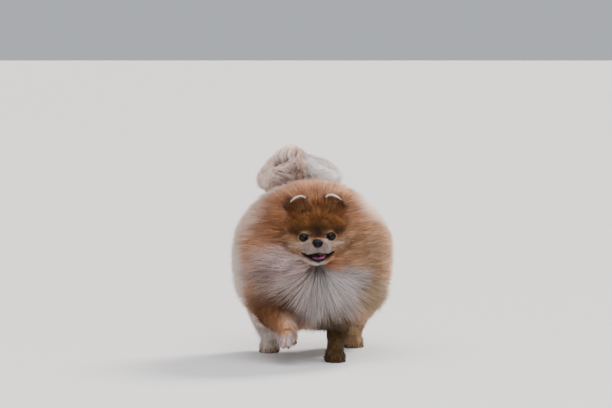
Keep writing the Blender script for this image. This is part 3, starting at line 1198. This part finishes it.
def lip_rope(along, around):
    """An oval carried round the closed path: the half path and its mirror image, read as one curve."""
    half = np.array(LIP_PATH)
    mirrored = half[-2:0:-1] * np.array([-1, 1, 1, 1, 1])
    loop = np.concatenate([half, mirrored])
    rows = np.concatenate([loop[-2:], loop, loop[:3]])
    place = (2 + (along % 1.0) * len(loop)) / (len(rows) - 1)
    row, ahead = read_rows(rows, place), read_rows(rows, place + 1e-3) - read_rows(rows, place - 1e-3)
    ahead = unit(ahead[..., :3])
    up = np.array([0.0, 0.0, 1.0]) - ahead * ahead[..., 2:]
    up = unit(up + np.array([0.0, -1e-4, 0.0]))
    side = np.cross(ahead, up)
    high, wide = np.cos(around) * row[..., 3], np.sin(around) * row[..., 4]
    return row[..., :3] + up * high[..., None] + side * wide[..., None]


LIP_RINGS, LIP_SIDES = 220, 14
points = from_head(lip_rope(*ring_grid(np.arange(LIP_RINGS) / LIP_RINGS, LIP_SIDES)))
faces = outward(points, collar_faces(LIP_RINGS, LIP_SIDES), points[:1].mean(1))
lips = mesh_piece("lips", points.reshape(-1, 3), faces)
lips.data.materials.append(leather_finish("lip", (0.006, 0.005, 0.006), 0.12, 1500.0))
print("lips:", len(faces), "triangles")

# %% [markdown]
# The tongue is a soft, damp, grooved blade that lies a little to one side, and what lies behind it is nearly
# black. Both are rings of the head's frame, and flecks of a second tone keep their skin from looking flat.

# %% Tongue and mouth
# The columns are those of the head's rings
TONGUE_RINGS = (
    (-0.0226, -0.0294, 0.001, 0.0005, 0.0005, 2.0, 0.0), (-0.0219, -0.0293, 0.0052, 0.001, 0.001, 2.0, 0.0),
    (-0.0196, -0.0286, 0.0084, 0.0016, 0.0014, 2.2, 0.0),
    (-0.015, -0.0272, 0.0098, 0.002, 0.0016, 2.2, 0.0), (-0.009, -0.0256, 0.01, 0.0022, 0.0018, 2.2, 0.0),
    (-0.002, -0.0242, 0.0092, 0.0016, 0.0016, 2.0, 0.0), (0.002, -0.0238, 0.001, 0.0005, 0.0005, 2.0, 0.0),
)
# The dark inside of the mouth, between palate and jaw
MOUTH_RINGS = (
    (-0.019, -0.025, 0.001, 0.001, 0.001, 2.0, 0.0), (-0.018, -0.0252, 0.007, 0.0028, 0.003, 2.0, 0.0),
    (-0.014, -0.0252, 0.012, 0.005, 0.0046, 2.0, 0.0), (-0.008, -0.024, 0.0165, 0.005, 0.0046, 2.0, 0.0),
    (-0.002, -0.0228, 0.02, 0.004, 0.004, 2.0, 0.0), (0.006, -0.0225, 0.019, 0.004, 0.004, 2.0, 0.0),
    (0.01, -0.0225, 0.001, 0.001, 0.001, 2.0, 0.0),
)
TONGUE_ASIDE = 0.0012
TONGUE_TILT = 0.09
# How high its edges lift at this half width, how deep and wide its groove is, and how wide the groove's shade
TONGUE_LIFT, TONGUE_HALF = 0.0020, 0.0090
GROOVE_DEPTH, GROOVE_HALF, GROOVE_SHADE = 0.0010, 0.0015, 0.0016


def tongue_shape(along, around):
    """The tongue's rings, tilted, lifted at both edges as x^2, with a groove exp(-x^2) down the middle."""
    points = oval_rings(TONGUE_RINGS, along, around)
    points += np.stack([0 * along + TONGUE_ASIDE, 0 * along, TONGUE_TILT * points[..., 0]], -1)
    x = points[..., 0]
    lift = TONGUE_LIFT * (x / TONGUE_HALF) ** 2 - GROOVE_DEPTH * np.exp(-(x / GROOVE_HALF) ** 2)
    points[..., 2] += lift * smooth_step(-0.0228, -0.0190, points[..., 1])
    return points


def damp_finish(name, colour, deep, bumps, shine):
    """Damp skin inside the mouth: two tones in small flecks, fine bumps and a wet coat."""
    finish = Finish(name, Roughness=0.45, Coat_Weight=shine, Coat_Roughness=0.12, Specular_IOR_Level=0.15)
    flecks = finish.noise(finish.place(), bumps, 3.0)
    groove = finish.step(finish.attribute("groove"), 0.0, 1.0)
    finish.set(Base_Color=finish.mix(groove * 0.6 + flecks * 0.4, colour, deep))
    finish.bump(flecks, 0.0003, 0.6)
    return finish.material


def mouth_piece(name, shape, finish, replaced=()):
    """A closed form of the head's frame, with how near each point is to the middle as its groove."""
    points, faces = closed_form(lambda a, t: from_head(shape(a, t)), 48, 40)
    piece = mesh_piece(name, points, faces, replaced)
    piece.data.materials.append(finish)
    add_value(piece, "groove", np.exp(-(to_head(points)[:, 0] / GROOVE_SHADE) ** 2))
    print(name + ":", len(piece.data.polygons), "triangles")


tongue_skin = damp_finish("tongue", (0.38, 0.080, 0.150), (0.22, 0.030, 0.070), 1900.0, 0.4)
mouth_piece("tongue_blade", tongue_shape, tongue_skin, ("tongue",))
mouth_dark = damp_finish("mouth", (0.006, 0.002, 0.003), (0.003, 0.001, 0.001), 900.0, 0.0)
mouth_piece("mouth_lining", lambda a, t: oval_rings(MOUTH_RINGS, a, t), mouth_dark)

# %% [markdown]
# The ears are short, cupped leaves, nearly lost in the coat. What shows of each is its pale upper edge,
# with dark hair inside it. A crescent-shaped section that narrows to a rounded tip makes the leaf, wall and
# hollow at once, and a row of short pale hairs is set along the edge itself.

# %% Ears
EAR_FOOT = np.array([0.0255, 0.0225, 0.0300])
EAR_LEAN = np.radians(-5)
EAR_HEIGHT = 0.0240
# Half width, depth of the cup and half thickness from foot to tip
EAR_ROWS = (
    (0.0112, 0.006, 0.0012), (0.012, 0.0062, 0.0011), (0.0124, 0.0058, 0.001), (0.0118, 0.0052, 0.0009),
    (0.0106, 0.0046, 0.0008), (0.008, 0.004, 0.0007), (0.0012, 0.0036, 0.0004),
)


def ear_leaf(side):
    """A crescent: x = width * sin, y = cup * (1 - 1.3 sin^2) + thickness * cos, leaned by EAR_LEAN."""
    lean = np.array(Matrix.Rotation(EAR_LEAN, 3, "Y"))

    def surface(along, around, depth=0.0):
        along, around, depth = np.broadcast_arrays(along, around, depth)
        row = read_rows(EAR_ROWS, along ** 1.25)
        around = side * around
        across = np.sin(around)
        thick = row[..., 2] * np.sqrt(1.05 - across ** 2) + depth * 0.0020
        y = row[..., 1] * (1 - 1.3 * across ** 2) + thick * np.cos(around)
        x = across * (row[..., 0] + depth * 0.0014)
        z = along * (EAR_HEIGHT - 0.30 * x) + depth * 0.0008 * along
        local = EAR_FOOT + np.stack([x, y, z], -1) @ lean.T
        return from_head(local * np.array([side, 1, 1]))
    return surface


def ear_finish():
    """Thin skin under short fur: dark in the cup and pale outside and along the edge."""
    finish = Finish("ear skin", Specular_IOR_Level=0.2)
    down = finish.noise(finish.place(), 1500.0, 2.0)
    colour = finish.mix(finish.attribute("pale"), (0.24, 0.085, 0.022), (0.66, 0.54, 0.50))
    finish.set(Base_Color=finish.shade(colour, down * 0.5 + 0.6), Roughness=down * 0.2 + 0.7)
    finish.bump(down, 0.0006, 0.7)
    return finish.material


ear_skin = ear_finish()
pale_hair = hair_finish("pale hair", plain=(0.78, 0.66, 0.63))
dark_hair = hair_finish("dark hair", plain=(0.11, 0.040, 0.009))
# Where the upper edge shows: x, y, z from its inner to its outer end
EAR_EDGE = (
    (0.014, 0.0215, 0.0535), (0.0165, 0.0225, 0.0558), (0.0205, 0.0235, 0.0568), (0.0255, 0.024, 0.0556),
    (0.0305, 0.0235, 0.0528), (0.035, 0.0225, 0.0488),
)
EDGE_HAIR = 0.0034


def ear_rim(count, side, seed):
    """Short hairs side by side along the upper edge, rising outwards from just under it."""
    draw = np.random.default_rng(seed)
    place = draw.random(count)
    edge = read_rows(EAR_EDGE, place)
    tall = EDGE_HAIR * np.sin(np.pi * np.clip(place, 0.04, 0.96)) ** 0.5
    tall = (tall * draw.uniform(0.8, 1.1, count))[:, None]
    start = edge + draw.normal(0, 0.0004, (count, 3)) - tall * np.array([0.1, 0.0, 1.0])
    end = edge + draw.normal(0, 0.0003, (count, 3)) + tall * np.array([0.25, 0.1, 0.0])
    bend = 0.5 * (start + end) - tall * np.array([0.0, 0.35, -0.1])
    mirror = np.array([side, 1, 1])
    start, bend, end = (from_head(points * mirror) for points in (start, bend, end))
    return {"start": start, "bend": bend, "end": end, "out": np.tile([0.0, -1.0, 0.3], (count, 1)),
            "width": 0.00045 * draw.uniform(0.75, 1.2, count), "place": end, "strand": draw.random(count),
            "clump": draw.random(count), "u": place, "v": draw.random(count)}


def up_ear(places):
    """Up and a little back, in the head's frame."""
    return np.tile(HEAD_TURN @ (0, 0.15, 1.0), (len(places), 1))


def in_cup(a, t, here):
    """1 on the front of the leaf, where cos(around) is low."""
    return np.cos(t) < 0.3


EAR_RINGS, EAR_SIDES, EAR_ENDS = 30, 40, (0.0, 0.995)
CUP_HAIR = {"root": -0.1, "bend": 1.5, "tip": (1.0, 2.8), "width": 0.0005, "lock": 0.004, "tuft": 0.008,
            "spring": 0.6}
for side, name in ((1, "ear_left"), (-1, "ear_right")):
    leaf = ear_leaf(side)
    points, faces = closed_form(leaf, EAR_RINGS, EAR_SIDES, EAR_ENDS)
    piece = mesh_piece(name + "_leaf", points, faces, (name,))
    piece.data.materials.append(ear_skin)
    pale = np.repeat(smooth_step(0.90, 0.97, np.linspace(*EAR_ENDS, EAR_RINGS)), EAR_SIDES)
    add_value(piece, "pale", np.append(pale, (0.0, 1.0)))
    hair_piece("coat_" + name + "_edge", ear_rim(900, side, 50), pale_hair, SHORT_HAIR)
    inside = grow(leaf, 1600, up_ear, 0.0070, 54 + side, (0.02, 0.78), keep=in_cup, **CUP_HAIR)
    hair_piece("coat_" + name + "_cup", inside, dark_hair, SHORT_HAIR)

# %% [markdown]
# A dog stands on its toes. Each paw is one form whose front is parted into four toes by the angle round it,
# with a curved dark claw at each toe and five leathery pads under it. The four paws are the same shape,
# each turned and placed as its leg needs.

# %% Paws
# Place, and degrees that the paw is pitched and turned
PAWS = {"forepaw_left": ((0.0310, -0.0900, 0.0), 0.0, 4.0),
        "forepaw_right": ((-0.0360, -0.1340, 0.0360), 35.0, -3.0),
        "hindpaw_left": ((0.0600, 0.1080, 0.0), 0.0, 5.0),
        "hindpaw_right": ((-0.0620, 0.0380, 0.0), 0.0, -6.0)}
# Height, half width, reach ahead and behind, and how deep the toes are parted
PAW_ROWS = (
    (0.02, 0.0085, 0.0085, 0.0085, 0.0), (0.0165, 0.0106, 0.011, 0.0105, 0.02),
    (0.0135, 0.0122, 0.0138, 0.0118, 0.08), (0.0105, 0.0134, 0.0172, 0.0126, 0.16),
    (0.0075, 0.0142, 0.0198, 0.0128, 0.22), (0.0045, 0.0145, 0.0207, 0.0126, 0.25),
    (0.002, 0.014, 0.0203, 0.012, 0.25), (0.0006, 0.0122, 0.0184, 0.0104, 0.22),
    (0.0004, 0.007, 0.011, 0.006, 0.1), (0.0006, 0.001, 0.001, 0.001, 0.0),
)
# Angles round the paw at which the toes lie, and half the angle that one takes up
TOE_ANGLES = (-0.66, -0.21, 0.21, 0.66)
TOE_HALF = 0.19
# Where each toe's claw and pad lie: x, y
TOES = (
    (-0.0106, -0.007), (-0.0038, -0.0118), (0.0038, -0.0118), (0.0106, -0.007),
)


def paw_turn(name):
    """The paw's own axes in the dog's frame, as columns."""
    _, pitch, turn = PAWS[name]
    return np.array(Matrix.Rotation(np.radians(turn), 3, "Z") @ Matrix.Rotation(np.radians(pitch), 3, "X"))


def paw_surface(name):
    """Ovals from the wrist to the sole; ahead, four lobes of exp(-angle^2) part the toes."""
    at, turn = np.array(PAWS[name][0]), paw_turn(name)

    def surface(along, around, depth=0.0):
        along, around, depth = np.broadcast_arrays(along, around, depth)
        row = read_rows(PAW_ROWS, along)
        ahead = np.cos(around)
        x, y = np.sin(around) * row[..., 1], -ahead * np.where(ahead > 0, row[..., 2], row[..., 3])
        angle = np.arctan2(x, -y)
        lobes = sum(np.exp(-((angle - middle) / TOE_HALF) ** 2) for middle in TOE_ANGLES)
        size = 1 + row[..., 4] * (lobes - 0.75) * smooth_step(0.1, 0.6, ahead)
        grown = 1 + depth * 0.0018 / np.maximum(row[..., 1], 0.004)
        z = row[..., 0] + depth * 0.0010 * smooth_step(0.6, 0.3, along)
        return at + np.stack([x * size * grown, y * size * grown, z], -1) @ turn.T
    return surface


CLAW_LENGTH, CLAW_DROP, CLAW_RADIUS = 0.0055, 0.0030, 0.00115


def claw_shape(start):
    """A cone from start, bent down by along^2 and narrowing to its tip."""
    def shape(along, around):
        middle = start + np.stack([0 * along, -CLAW_LENGTH * along, -CLAW_DROP * along ** 2], -1)
        radius = CLAW_RADIUS * (1 - 0.86 * along)
        return middle + np.stack([np.sin(around) * radius * 0.8, 0 * along, np.cos(around) * radius], -1)
    return shape


def pad_shape(middle, radii):
    """A flattened ball from its top to its foot."""
    def shape(along, around):
        turn = along * np.pi
        high = np.sign(np.cos(turn)) * np.abs(np.cos(turn)) ** 0.8
        ball = np.stack([np.sin(turn) * np.sin(around), np.sin(turn) * np.cos(around), high], -1)
        return np.array(middle) + ball * np.array(radii)
    return shape


def joined(parts):
    """Points and triangles of several forms as one mesh."""
    starts = np.cumsum([0] + [len(points) for points, _ in parts])
    return np.concatenate([p for p, _ in parts]), np.concatenate([f + k for (_, f), k in zip(parts, starts)])


PADS = [((0.0, -0.0025, 0.0022), (0.0082, 0.0060, 0.0024))]
PADS += [((x, y - 0.0022, 0.0021), (0.0040, 0.0052, 0.0022)) for x, y in TOES]
horn = leather_finish("claw", (0.030, 0.022, 0.018), 0.5, 300.0)
pad_leather = leather_finish("paw pad", (0.020, 0.016, 0.016), 0.1, 900.0)
paw_skin = skin_finish("paw skin")
paw_hair = {"forepaw_left": hair_finish("dark paw hair", plain=(0.085, 0.040, 0.008)),
            "forepaw_right": hair_finish("paw hair", plain=(0.66, 0.55, 0.52)),
            "hindpaw_left": hair, "hindpaw_right": hair}
PAW_FUR = {"root": -0.2, "bend": 1.0, "tip": (0.7, 1.8), "width": 0.0005, "lock": 0.0035, "tuft": 0.007,
           "gather": 0.1, "pull": 0.3, "sway": 0.12, "spring": 0.4}


def over_toes(turn):
    """Forwards and down in the paw's own axes."""
    return lambda places: np.tile(turn @ (0.0, -1.0, -0.45), (len(places), 1))


for seed, name in enumerate(PAWS):
    at, turn = np.array(PAWS[name][0]), paw_turn(name)
    surface = paw_surface(name)
    points, faces = closed_form(surface, 44, 96)
    paw = mesh_piece(name + "_skin", points, faces, (name,))
    paw.data.materials.append(paw_skin)
    add_value(paw, "place", points)
    add_value(paw, "clump", np.full(len(points), 0.5))
    claws, pads = (joined([closed_form(shape, *grid) for shape in shapes]) for shapes, grid in (
        ([claw_shape(np.array([x, y - 0.0078, 0.0062])) for x, y in TOES], (8, 10, (0.0, 0.98))),
        ([pad_shape(*pad) for pad in PADS], (14, 20, (0.02, 0.98)))))
    for (local, corners), kind, finish in ((claws, "claws", horn), (pads, "pads", pad_leather)):
        piece = mesh_piece(name + "_" + kind, at + local @ turn.T, corners)
        piece.data.materials.append(finish)
    hairs = grow(surface, 1400, over_toes(turn), 0.0075, 60 + seed, (0.0, 0.74), **PAW_FUR)
    hair_piece("coat_" + name, hairs, paw_hair[name], SHORT_HAIR)
print("paws: 4, claws:", 4 * len(TOES), "pads:", 4 * len(PADS))

# %% [markdown]
# The floor is plain and pale. Warm even light from behind makes the coat's edge glow, a wide soft light
# from above fills the rest, and a weak one from the front keeps the face readable. The small panel is what
# the eyes reflect.

# %% Floor, light and camera
def floor_finish():
    """Matt, pale and hardly mottled."""
    finish = Finish("pale floor", Roughness=0.9)
    grain = finish.noise(finish.place(), 220.0, 2.0)
    finish.set(Base_Color=finish.mix(grain, (0.74, 0.73, 0.72), (0.78, 0.77, 0.76)))
    return finish.material


floor = bpy.data.objects.new("floor", bpy.data.meshes.new("floor"))
floor_corners = [(-60, -60, 0), (60, -60, 0), (60, 60, 0), (-60, 60, 0)]
floor.data.from_pydata(floor_corners, [], [(0, 1, 2, 3)])
floor.data.materials.append(floor_finish())
bpy.context.scene.collection.objects.link(floor)


def soft_light(name, at, target, size, power, colour):
    """A square panel of light at one place, turned to another."""
    light = bpy.data.lights.new(name, "AREA")
    light.size, light.energy, light.color = size, power, colour
    panel = bpy.data.objects.new(name, light)
    panel.location = at
    panel.rotation_euler = (Vector(target) - Vector(at)).to_track_quat("-Z", "Y").to_euler()
    bpy.context.scene.collection.objects.link(panel)


def soft_sun(name, way, power, spread, colour):
    """Even light from one way, as from a panel far off, with a soft shadow."""
    light = bpy.data.lights.new(name, "SUN")
    light.energy, light.angle, light.color = power, np.radians(spread), colour
    lamp = bpy.data.objects.new(name, light)
    lamp.rotation_euler = Vector(way).to_track_quat("-Z", "Y").to_euler()
    bpy.context.scene.collection.objects.link(lamp)


world = bpy.data.worlds.new("studio")
world.use_nodes = True
sky = world.node_tree.nodes["Background"]
sky.inputs["Color"].default_value = (0.90, 0.94, 1.0, 1.0)
sky.inputs["Strength"].default_value = 0.55
bpy.context.scene.world = world
soft_sun("light from behind", (-0.70, -0.75, -1.0), 4.2, 20, (1.0, 0.94, 0.87))
soft_sun("light from the front", (-0.60, 1.0, -0.55), 0.45, 60, (1.0, 0.97, 0.95))
soft_sun("light from above", (0.05, 0.60, -1.0), 2.6, 60, (1.0, 0.96, 0.95))
soft_light("eye light", (0.2, -2.6, 1.5), (0, 0, 0.18), 0.5, 14, (0.72, 0.84, 1.0))

# The camera stands 4 m off and a little over the dog's height. Its lens gives 1.37 mm to a pixel at the eyes
CAMERA_TARGET = np.array([-0.0096, -0.165, 0.2254])
CAMERA_AWAY, CAMERA_RISE = 4.0, 0.2246
SENSOR, LENS = 36.0, 171.8
target = CAMERA_TARGET + SHIFT
camera = bpy.data.objects.new("camera", bpy.data.cameras.new("camera"))
camera.location = target + (0, -CAMERA_AWAY, CAMERA_RISE)
camera.rotation_euler = (Vector(target) - camera.location).to_track_quat("-Z", "Y").to_euler()
camera.data.sensor_width = SENSOR
camera.data.lens = LENS
bpy.context.scene.collection.objects.link(camera)
bpy.context.scene.camera = camera
print("lights:", len(bpy.data.lights), "camera at", [round(v, 2) for v in camera.location])
